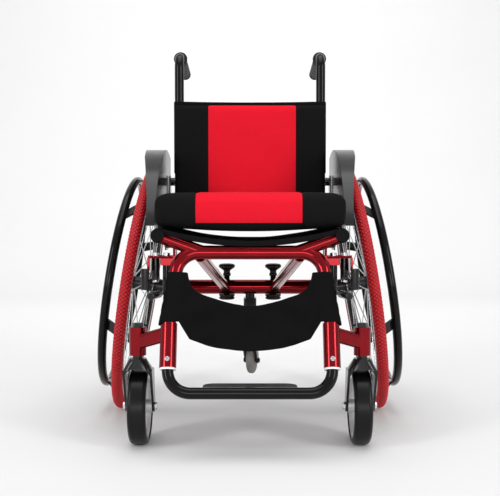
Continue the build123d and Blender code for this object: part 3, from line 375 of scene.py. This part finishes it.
# ------------------------------------------------------------------ mesh helpers
def mesh_object(name, verts, faces, material, smooth=True):
    mesh = bpy.data.meshes.new(name)
    mesh.from_pydata([tuple(v) for v in verts], [], faces)
    mesh.validate()
    mesh.update()
    made = bpy.data.objects.new(name, mesh)
    scene.collection.objects.link(made)
    made.data.materials.append(material)
    if smooth:
        for polygon in mesh.polygons:
            polygon.use_smooth = True
    return made


def grid_faces(rows, columns, wrap_rows=False, wrap_columns=False, start=0):
    faces = []
    for i in range(rows if wrap_rows else rows - 1):
        for j in range(columns if wrap_columns else columns - 1):
            a = i * columns + j
            b = i * columns + (j + 1) % columns
            c = ((i + 1) % rows) * columns + (j + 1) % columns
            d = ((i + 1) % rows) * columns + j
            faces.append((start + a, start + b, start + c, start + d))
    return faces


def closed_tube(name, rings, material):
    """A closed skin over a list of equal rings of points."""
    count = len(rings[0])
    verts = [p for ring in rings for p in ring]
    faces = grid_faces(len(rings), count, wrap_columns=True)
    faces.append(tuple(range(count - 1, -1, -1)))
    last = (len(rings) - 1) * count
    faces.append(tuple(last + k for k in range(count)))
    return mesh_object(name, verts, faces, material)


def lathe(name, start, direction, profile, material, steps=48):
    """A round body: profile is a list of (distance along, radius)."""
    direction = direction.normalized()
    side = direction.orthogonal().normalized()
    up = direction.cross(side)
    rings = []
    for along, radius in profile:
        ring = []
        for k in range(steps):
            a = 2 * math.pi * k / steps
            outward = side * (radius * math.cos(a))
            upward = up * (radius * math.sin(a))
            ring.append(start + direction * along + outward + upward)
        rings.append(ring)
    return closed_tube(name, rings, material)


def thick_sheet(name, top, thickness, material):
    """A sheet of cloth with a real thickness: top is a grid of points, one row after another."""
    rows, columns = len(top), len(top[0])
    normals = []
    for i in range(rows):
        for j in range(columns):
            di = top[min(i + 1, rows - 1)][j] - top[max(i - 1, 0)][j]
            dj = top[i][min(j + 1, columns - 1)] - top[i][max(j - 1, 0)]
            normals.append(di.cross(dj).normalized())
    flat = [p for row in top for p in row]
    half = thickness / 2
    verts = [p + n * half for p, n in zip(flat, normals)] + [p - n * half for p, n in zip(flat, normals)]
    count = rows * columns
    faces = [tuple(reversed(f)) for f in grid_faces(rows, columns)]
    faces += grid_faces(rows, columns, start=count)
    edge = [(0, j) for j in range(columns)] + [(i, columns - 1) for i in range(1, rows)]
    edge += [(rows - 1, j) for j in range(columns - 2, -1, -1)] + [(i, 0) for i in range(rows - 2, 0, -1)]
    for k, (i, j) in enumerate(edge):
        i2, j2 = edge[(k + 1) % len(edge)]
        a, b = i * columns + j, i2 * columns + j2
        faces.append((a, b, b + count, a + count))
    return mesh_object(name, verts, faces, material)


def rough_at(point, scale, seed=0.0):
    return noise.noise(Vector(point) * scale + Vector((seed, seed * 1.7, seed * 0.6)))


# ------------------------------------------------------------------ cushions
def rounded_block(name, low, high, radius, cuts, material):
    """A box with well rounded edges, as a dense quad mesh."""
    low, high = Vector(low), Vector(high)
    centre, half = (low + high) / 2, (high - low) / 2
    verts, faces, index = [], [], {}

    def vertex(point):
        key = tuple(round(c, 6) for c in point)
        if key not in index:
            core = Vector([max(-half[a] + radius, min(half[a] - radius, point[a])) for a in range(3)])
            away = point - core
            if away.length > 1e-9:
                away = away.normalized() * radius
            index[key] = len(verts)
            verts.append(centre + core + away)
        return index[key]

    for axis in range(3):
        u, v = (axis + 1) % 3, (axis + 2) % 3
        for sign in (-1, 1):
            nu = max(4, int(2 * half[u] / cuts))
            nv = max(4, int(2 * half[v] / cuts))
            for i in range(nu):
                for j in range(nv):
                    corners = []
                    for a, b in ((i, j), (i + 1, j), (i + 1, j + 1), (i, j + 1)):
                        point = Vector((0, 0, 0))
                        point[axis] = sign * half[axis]
                        point[u] = -half[u] + 2 * half[u] * a / nu
                        point[v] = -half[v] + 2 * half[v] * b / nv
                        corners.append(vertex(point))
                    faces.append(tuple(corners if sign > 0 else reversed(corners)))
    return mesh_object(name, verts, faces, material)


def inflate(obj, voxel, pressure, cap):
    """Fills a closed cover with a short cloth simulation and keeps the result."""
    remesh = obj.modifiers.new("remesh", "REMESH")
    remesh.mode = "VOXEL"
    remesh.voxel_size = voxel
    remesh.use_smooth_shade = True
    bake(obj)
    rest = [v.co.copy() for v in obj.data.vertices]
    cloth = obj.modifiers.new("cloth", "CLOTH")
    cloth.settings.use_pressure = True
    cloth.settings.uniform_pressure_force = pressure
    cloth.settings.effector_weights.gravity = 0
    cloth.settings.quality = 6
    cloth.settings.mass = 0.3
    for step in range(1, 21):
        scene.frame_set(step)
    bake(obj)
    scene.frame_set(1)
    for vertex, start in zip(obj.data.vertices, rest):
        move = vertex.co - start
        if move.length > cap:
            vertex.co = start + move * (cap / move.length)


def bake(obj):
    """Applies every modifier of obj."""
    evaluated = obj.evaluated_get(bpy.context.evaluated_depsgraph_get())
    mesh = bpy.data.meshes.new_from_object(evaluated)
    obj.modifiers.clear()
    obj.data = mesh
    for polygon in mesh.polygons:
        polygon.use_smooth = True


def subdivide(obj, levels=1):
    modifier = obj.modifiers.new("subdivision", "SUBSURF")
    modifier.levels = levels
    modifier.render_levels = levels


def crowned(obj, low, high, crown, pinch):
    """Crowns the broad faces and pulls the sides in between the corners."""
    centre = (Vector(low) + Vector(high)) / 2
    half = (Vector(high) - Vector(low)) / 2
    for vertex in obj.data.vertices:
        p = (vertex.co - centre)
        t = [max(-1.0, min(1.0, p[a] / half[a])) for a in range(3)]
        for axis in range(3):
            others = [a for a in range(3) if a != axis]
            bulge = (1 - t[others[0]] ** 2) * (1 - t[others[1]] ** 2)
            p[axis] += t[axis] * (crown[axis] * bulge - pinch[axis])
        vertex.co = centre + p


def sewn(obj, places, depth, width):
    """Draws the cover in along seams at the given places across the piece."""
    normals = [v.normal.copy() for v in obj.data.vertices]
    for vertex, normal in zip(obj.data.vertices, normals):
        pull = sum(math.exp(-((vertex.co.x - place) / width) ** 2) for place in places)
        vertex.co -= normal * (depth * min(1.0, pull))


seat_low = Vector((-0.1925, AXLE_Y - 0.3850, 0.4290))
seat_high = Vector((0.1925, AXLE_Y + 0.0, 0.4945))
seat = rounded_block("seat_cushion_cover", seat_low, seat_high, 0.017, 0.006, seat_cover)
crowned(seat, seat_low, seat_high, (0.003, 0.003, 0.005), (0.002, 0.002, 0.001))
inflate(seat, 0.005, 4.0, 0.004)
sewn(seat, RED_SEAT, 0.0022, 0.0035)
for vertex in seat.data.vertices:
    crease = rough_at(vertex.co, 16.0, 3.0) * 0.0012 + rough_at(vertex.co, 55.0, 5.0) * 0.0004
    vertex.co += vertex.normal * crease
    sag = 0.0075 * max(0.0, 1 - (vertex.co.x / 0.16) ** 2)
    vertex.co.z = max(vertex.co.z, 0.4294)
    if vertex.co.z < 0.445:
        vertex.co.z -= sag * (0.445 - vertex.co.z) / (0.445 - 0.4294)
    vertex.co.y = min(vertex.co.y, AXLE_Y + 0.0035)
subdivide(seat)
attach(seat, "frame")
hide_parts("seat_cushion")

back_low = Vector((-0.1835, AXLE_Y + 0.0105, 0.4735))
back_high = Vector((0.1835, AXLE_Y + 0.0235, 0.7195))
back = rounded_block("back_pad_cover", back_low, back_high, 0.0062, 0.004, back_cover)
crowned(back, back_low, back_high, (0.0, 0.0015, 0.0), (0.0, 0.0, 0.0))
inflate(back, 0.004, 4.0, 0.003)
sewn(back, RED_BACK, 0.0018, 0.003)
for vertex in back.data.vertices:
    crease = rough_at(vertex.co, 18.0, 11.0) * 0.0016 + rough_at(vertex.co, 60.0, 7.0) * 0.0004
    vertex.co.y += crease * (0.3 if vertex.co.y > AXLE_Y + 0.017 else 1.0)
    vertex.co.y = min(vertex.co.y, AXLE_Y + 0.0242)
subdivide(back)
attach(back, "backrest")
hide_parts("backrest_pad")

# ------------------------------------------------------------------ back sling round the canes
SLEEVE_R = 0.0125
SHEET_Y = CANE_Y - SLEEVE_R


def sling_outline():
    """The back sling seen from above: round one cane, across the front, round the other."""
    points = []
    for k in range(19):
        a = math.radians(30 + 240 * k / 18)
        points.append((-CANE_X + SLEEVE_R * math.cos(a), CANE_Y + SLEEVE_R * math.sin(a)))
    for k in range(1, 60):
        x = -CANE_X + 2 * CANE_X * k / 60
        points.append((x, SHEET_Y))
    for k in range(19):
        a = math.radians(270 + 240 * k / 18)
        points.append((CANE_X + SLEEVE_R * math.cos(a), CANE_Y + SLEEVE_R * math.sin(a)))
    return points


outline = sling_outline()
rows = []
SLING_LOW, SLING_TOP = 0.556, 0.7262
for i in range(45):
    z = SLING_LOW + (SLING_TOP - SLING_LOW) * i / 44
    row = []
    for x, y in outline:
        flat = max(0.0, 1 - (x / (CANE_X - 0.004)) ** 2)
        ripple = rough_at((x * 1.0, 0.0, z * 0.35), 42.0, 2.0) * 0.0011 * flat
        edge = math.exp(-((SLING_TOP - z) / 0.012) ** 2)
        pucker = math.sin(abs(x) * 520.0) * 0.0009 * edge * (1 if abs(x) > 0.12 else 0.25) * flat
        row.append(Vector((x, y + CLOTH_GAP + ripple + pucker, z - 0.002 * flat * edge)))
    rows.append(row)
back_sling = thick_sheet("back_sling_cloth", rows, 0.0014, black_cloth)
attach(back_sling, "backrest")
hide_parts("backrest_sling")

# tension straps across the rear of the sling
for index, z in enumerate((0.574, 0.640, 0.692)):
    rows = []
    for i in range(7):
        row = []
        for k in range(61):
            x = -0.156 + 0.312 * k / 60
            fold = 0.0006 * math.sin(x * 90 + index) + rough_at((x, 0, z), 30.0, index) * 0.0005
            row.append(Vector((x, CANE_Y - 0.0072 + fold, z - 0.0125 + 0.025 * i / 6)))
        rows.append(row)
    strap = thick_sheet(f"back_strap_{index}", rows, 0.0016, webbing)
    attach(strap, "backrest")

# ------------------------------------------------------------------ seat sling and straps
def sag_grid(front, depth, end_x, end_z, mid_z, wrap, rows_count, ripple, seed):
    """A sheet hung between the seat rails; wrap adds the turn round each rail."""
    outline = []
    r = RAIL_R + CLOTH_GAP
    if wrap:
        for k in range(13):
            a = math.radians(330 - 240 * k / 12)
            outline.append((-RAIL_X + r * math.cos(a), RAIL_Z + r * math.sin(a)))
    for k in range(1, 72):
        t = -1 + 2 * k / 72
        outline.append((end_x * t, mid_z + (end_z - mid_z) * t * t))
    if wrap:
        for k in range(13):
            a = math.radians(90 - 240 * k / 12)
            outline.append((RAIL_X + r * math.cos(a), RAIL_Z + r * math.sin(a)))
    rows = []
    for i in range(rows_count):
        y = front + depth * i / (rows_count - 1)
        row = []
        for x, z in outline:
            free = max(0.0, 1 - (x / end_x) ** 2)
            row.append(Vector((x, y, z + rough_at((x * 0.5, y, 0), 30.0, seed) * ripple * free)))
        rows.append(row)
    length = sum(math.dist(a, b) for a, b in zip(outline, outline[1:]))
    return rows, length


rows, length = sag_grid(
    AXLE_Y - 0.391, 0.344, RAIL_X, RAIL_Z + RAIL_R + CLOTH_GAP, SEAT_MID_Z, True, 48, 0.0016, 4.0
)
seat_sling = thick_sheet("seat_sling_cloth", rows, 0.0014, black_cloth)
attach(seat_sling, "frame")
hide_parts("seat_sling")

for index, reach in enumerate((0.362, 0.238, 0.118)):
    rows, length = sag_grid(AXLE_Y - reach, 0.040, 0.163, 0.4120, 0.3972, False, 9, 0.0012, 8.0 + index)
    strap = thick_sheet(f"seat_strap_{index}", rows, 0.0018, webbing)
    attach(strap, "frame")
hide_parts("seat_straps")

# the folded front hem of the sling
hem_rows = []
for i in range(5):
    row = []
    for k in range(61):
        t = -1 + 2 * k / 60
        z = SEAT_MID_Z + (RAIL_Z + RAIL_R + CLOTH_GAP - SEAT_MID_Z) * t * t
        curl = 0.0008 * math.sin(7.0 * t) + rough_at((t * 0.2, 0, 0.0), 30.0, 2.5) * 0.0008
        row.append(Vector((HEM_HALF * t, AXLE_Y - 0.3942 - curl, z + 0.0006 - HEM_DROP * i / 4)))
    hem_rows.append(row)
hem = thick_sheet("seat_sling_hem", hem_rows, 0.0016, webbing)
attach(hem, "frame")

# ------------------------------------------------------------------ brace knobs
knob_box = [nodes["brace_knobs"].matrix_world @ Vector(corner) for corner in nodes["brace_knobs"].bound_box]
KNOB_LOW = min(corner.z for corner in knob_box)
KNOB_HEIGHT = max(corner.z for corner in knob_box) - KNOB_LOW
KNOB_X = 0.055
knob_profile = [(0.0, 0.0040), (0.0, 0.0150), (0.0025, 0.0188), (0.0045, 0.0188), (0.0060, 0.0170)]
knob_profile += [(0.0075, 0.0170), (0.0090, 0.0188), (0.0124, 0.0188), (0.0128, 0.0068)]
for below, radius in (
    (0.0300, 0.0068),
    (0.0298, 0.0092),
    (0.0240, 0.0092),
    (0.0225, 0.0076),
    (0.0170, 0.0080),
    (0.0105, 0.0178),
    (0.0088, 0.0193),
    (0.0045, 0.0193),
    (0.0015, 0.0160),
    (0.0002, 0.0090),
    (0.0, 0.0010),
):
    knob_profile.append((KNOB_HEIGHT - below, radius))
for side, word in ((1, "left"), (-1, "right")):
    knob_root = Vector((side * KNOB_X, AXLE_Y, KNOB_LOW))
    knob = lathe(f"knob_{word}", knob_root, Vector((0, 0, 1)), knob_profile, knob_black)
    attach(knob, "frame")
    if side > 0:
        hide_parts("brace_knobs")

# ------------------------------------------------------------------ calf strap
STRAP_R = 0.0150
SLEEVE_LOW, SLEEVE_TOP = -0.0135, 0.0835
leg_turn = (0.1535, 0.008)
leg_rise = Vector((0.139 - 0.1535, 0.1266 - 0.008)).normalized()


def leg_centre(s):
    """X of the leg's centre at a height up the slope."""
    if s <= leg_turn[1]:
        return leg_turn[0]
    return leg_turn[0] + leg_rise.x * (s - leg_turn[1]) / leg_rise.y


def strap_edges(t):
    """(low, high) height up the slope of the strap's edges, t from -1 to 1 across."""
    a = abs(t)
    high = min(SLEEVE_TOP, 0.0196 + 0.038 * a ** 1.5 + 0.050 * a ** 14)
    low = -0.0670 + 0.0215 * min(1.0, a / 0.85) ** 2.0
    if a > 0.85:
        low = -0.0455 + (SLEEVE_LOW + 0.0455) * (a - 0.85) / 0.15
    return low, high


def sleeve_point(side, turn, v):
    """A point of the sleeve round one leg: turn 0 faces forwards, 90 faces outwards."""
    s = SLEEVE_LOW + (SLEEVE_TOP - SLEEVE_LOW) * v
    a = math.radians(turn)
    outward = max(0.0, math.sin(a))
    flare = 0.0045 * max(0.0, 1 - v / 0.4) ** 2 * outward
    crease = 0.0006 * math.sin(26.0 * v + 4.0 * a) * outward
    radius = STRAP_R + flare + crease
    x = leg_centre(s) + radius * math.sin(a)
    return slope_point(side * x, s - 0.004 * outward * (1 - v) ** 6, radius * math.cos(a))


columns, rows_count = 97, 33
rows = []
for i in range(rows_count):
    v = i / (rows_count - 1)
    row = [sleeve_point(-1, 140 - 130 * k / 8, v) for k in range(9)]
    for k in range(columns):
        t = -1 + 2 * k / (columns - 1)
        low, high = strap_edges(t)
        s = low + (high - low) * v
        x = (leg_centre(s) - SLEEVE_INSET) * t
        hold = 1 - abs(t) ** 6
        billow = -0.008 * (1 - t * t) * math.sin(math.pi * min(1.0, v * 0.9 + 0.15))
        fold = 0.0042 * math.sin(11.0 * v + 9.0 * abs(t)) * math.exp(-((abs(t) - 0.75) / 0.25) ** 2)
        wide = rough_at((x * 0.8, s, 0), 30.0, 6.0) * 0.0045
        fine = rough_at((x, s * 0.5, 0), 75.0, 9.0) * 0.0015
        ripple = wide + fine
        row.append(slope_point(x, s, 0.010 * abs(t) ** 8 + (billow + fold + ripple) * hold))
    row += [sleeve_point(1, 10 + 130 * k / 8, v) for k in range(9)]
    rows.append(row)
calf = thick_sheet("calf_strap_cloth", rows, 0.0016, black_cloth)
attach(calf, "frame")
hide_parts("calf_strap")
# goes across the strap's width and finds the heights of its edges; nothing is kept
for k in range(200):
    t = -1 + (k + 0.5) / 100
    low, high = strap_edges(t)

# ------------------------------------------------------------------ rear tyres with a crossed tread
def tyre(side, name):
    around, across = 1320, 30
    verts = []
    for i in range(around):
        turn = 2 * math.pi * i / around
        radial = WHEEL_UP * math.cos(turn) + WHEEL_FRONT * math.sin(turn)
        for j in range(across):
            # the section opens where the rim holds it
            a = math.radians(-140 + 280 * j / (across - 1))
            stripe = [turn * TREAD_COUNT / (2 * math.pi) + a * slant for slant in TREAD_SLANTS]
            groove = max(0.5 + 0.5 * math.cos(2 * math.pi * place) for place in stripe)
            shoulder = max(0.0, min(1.0, (2.0 - abs(a)) / 0.25))
            cut = GROOVE_DEPTH * groove ** 2 * shoulder
            section = TYRE_SECTION - cut
            radius = TYRE_CENTRE_R + section * math.cos(a)
            point = HUB + radial * radius + WHEEL_OUT * (section * math.sin(a))
            verts.append(side_flip(point, side))
    faces = grid_faces(around, across, wrap_rows=True)
    for i in range(around):
        near, far = i * across, ((i + 1) % around) * across
        faces.append((near, far, far + across - 1, near + across - 1))
    if side < 0:
        faces = [tuple(reversed(f)) for f in faces]
    return mesh_object(name, verts, faces, tyre_rubber)


def wheel_point(turn, radius, out):
    """A point of the left wheel, from its angle, its radius and its distance outward."""
    radial = WHEEL_UP * math.cos(turn) + WHEEL_FRONT * math.sin(turn)
    return HUB + radial * radius + WHEEL_OUT * out


for side, word in ((1, "left"), (-1, "right")):
    made = tyre(side, f"tread_{word}")
    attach(made, f"wheel_{word}")
    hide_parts(f"rear_tyre_{word}")

    # spoke nipples
    verts, faces = [], []
    for k in range(SPOKE_COUNT):
        lacing = 1 if k % 2 else -1
        rim_turn = 2 * math.pi * k / SPOKE_COUNT
        hub_turn = rim_turn + math.radians(lacing * SPOKE_CROSS)
        rim_end = wheel_point(rim_turn, RIM_BED, lacing * 0.0015)
        hub_end = wheel_point(hub_turn, HUB_FLANGE, lacing * 0.020)
        run = (hub_end - rim_end).normalized()
        a_side = run.orthogonal().normalized()
        b_side = run.cross(a_side)
        start = len(verts)
        for along, radius in NIPPLE_PROFILE:
            for m in range(NIPPLE_SIDES):
                turn = 2 * math.pi * m / NIPPLE_SIDES
                a_part = a_side * (radius * math.cos(turn))
                b_part = b_side * (radius * math.sin(turn))
                verts.append(side_flip(rim_end + run * along + a_part + b_part, side))
        faces += grid_faces(len(NIPPLE_PROFILE), NIPPLE_SIDES, wrap_columns=True, start=start)
        last = start + (len(NIPPLE_PROFILE) - 1) * NIPPLE_SIDES
        faces.append(tuple(start + m for m in reversed(range(NIPPLE_SIDES))))
        faces.append(tuple(last + m for m in range(NIPPLE_SIDES)))
    nipples = mesh_object(f"nipples_{word}", verts, faces, zinc)
    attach(nipples, f"wheel_{word}")

    # inner tube valve
    valve_turn = math.radians(187.5)
    radial = WHEEL_UP * math.cos(valve_turn) + WHEEL_FRONT * math.sin(valve_turn)
    root = side_flip(HUB + radial * 0.2505, side)
    inward = side_flip(-radial, side)
    profile = [
        (0.0, 0.0045),
        (0.004, 0.0045),
        (0.005, 0.0032),
        (0.018, 0.0032),
        (0.0185, 0.0042),
        (0.030, 0.0042),
        (0.0315, 0.003),
    ]
    valve = lathe(f"valve_{word}", root, inward, profile, moulded_black, 20)
    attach(valve, f"wheel_{word}")

# ------------------------------------------------------------------ push grips with ribs
handle_end = Vector((CANE_X, AXLE_Y + 0.235, 0.824))
handle_run = Vector((0, 0.197, -0.016)).normalized()
grip_length = 0.1645
grip_profile = [(0.0, 0.0112), (0.0, 0.0150), (0.001, 0.0163), (0.0035, 0.0165), (0.005, 0.0143)]
for k in range(5):
    base = 0.006 + 0.0052 * k
    grip_profile += [(base + along, radius) for along, radius in RIB_SHAPE]
for k in range(36):
    along = WAVE_START + (grip_length - 0.046) * k / 35
    wave = 0.0009 * math.cos(2 * math.pi * (along - WAVE_START) / WAVE_PITCH)
    grip_profile.append((along, GRIP_RADIUS + wave))
grip_profile += [(grip_length - back, radius) for back, radius in GRIP_END]
for side, word in ((1, "left"), (-1, "right")):
    start = side_flip(handle_end - handle_run * (grip_length - 0.004), side)
    grip = lathe(f"grip_{word}", start, handle_run, grip_profile, grip_rubber)
    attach(grip, "backrest")
    if side > 0:
        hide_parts("push_grips")

# ------------------------------------------------------------------ floor, light, camera
def stage_material(name, near, far):
    """Paper with painted shade: a little darker under the chair than on the wall behind."""
    g = Graph(name, Roughness=0.7, Specular_IOR_Level=0.1)
    y = g.xyz()[1]
    # the grey ramp from front to back is painted shade under the chair
    depth = g.math("MULTIPLY_ADD", y, 0.25, 0.35)
    paper_painted_shade = g.ramp(depth, [(0.2, near), (0.9, far)])
    mottle = g.ramp(g.noise(2.0), [(0.3, (0.985, 0.985, 0.985)), (0.7, (1.0, 1.0, 1.0))])
    shade = g.node("ShaderNodeMix", data_type="RGBA", blend_type="MULTIPLY")
    shade.inputs[0].default_value = 1.0
    g.link(paper_painted_shade, shade.inputs[6])
    g.link(mottle, shade.inputs[7])
    g.colour(shade.outputs[2])
    return g.mat


FLOOR_X = (-24.0, -8.0, 8.0, 24.0)
floor_rows = []
for i in range(40):
    if i < 20:
        y, z = -24.0 + 27.0 * i / 19, 0.0
    else:
        a = math.radians(90 * (i - 19) / 20)
        y, z = 3.0 + 1.5 * math.sin(a), 1.5 - 1.5 * math.cos(a)
    floor_rows.append([Vector((x, y, z)) for x in FLOOR_X])
floor_rows.append([Vector((x, 4.5, 7.0)) for x in FLOOR_X])
floor_points = [p for row in floor_rows for p in row]
floor_faces = grid_faces(len(floor_rows), len(FLOOR_X))
# the nearer, darker grey is painted shade under the chair
floor_paper_painted_shade = stage_material("studio_paper_painted_shade", (0.68, 0.68, 0.68), (0.86, 0.86, 0.86))
floor = mesh_object("studio_floor", floor_points, floor_faces, floor_paper_painted_shade)

world = bpy.data.worlds.new("studio")
scene.world = world
world.use_nodes = True
world.node_tree.nodes["Background"].inputs[0].default_value = (1.0, 1.0, 1.0, 1.0)
world.node_tree.nodes["Background"].inputs[1].default_value = 0.72


def area_light(name, place, target, size, power, size_y=None):
    data = bpy.data.lights.new(name, "AREA")
    data.energy = power
    data.size = size
    if size_y:
        data.shape = "RECTANGLE"
        data.size_y = size_y
    made = bpy.data.objects.new(name, data)
    made.location = place
    made.rotation_euler = (Vector(target) - Vector(place)).to_track_quat("-Z", "Y").to_euler()
    scene.collection.objects.link(made)
    return made


area_light("overhead", (0.0, -0.2, 3.2), (0.0, 0.2, 0.4), 2.4, 44.0)
area_light("key_left", (-2.4, -2.2, 1.5), (0.0, 0.0, 0.4), 0.7, 44.0, 2.0)
area_light("key_right", (2.4, -2.2, 1.5), (0.0, 0.0, 0.4), 0.7, 44.0, 2.0)
area_light("low_front", (0.0, -3.4, 0.5), (0.0, 0.0, 0.35), 1.6, 16.0, 0.7)
area_light("wall_wash", (0.0, 1.7, 3.0), (0.0, 4.5, 1.2), 3.0, 24.0, 0.8)

camera_data = bpy.data.cameras.new("camera")
camera_data.lens = 63.0
camera_data.sensor_width = 36.0
camera = bpy.data.objects.new("camera", camera_data)
camera.location = (0.0, AXLE_Y - 2.08, 0.45)
camera.rotation_euler = (math.radians(90.0 - 2.03), 0.0, 0.0)
scene.collection.objects.link(camera)
scene.camera = camera
scene.view_settings.view_transform = "Standard"
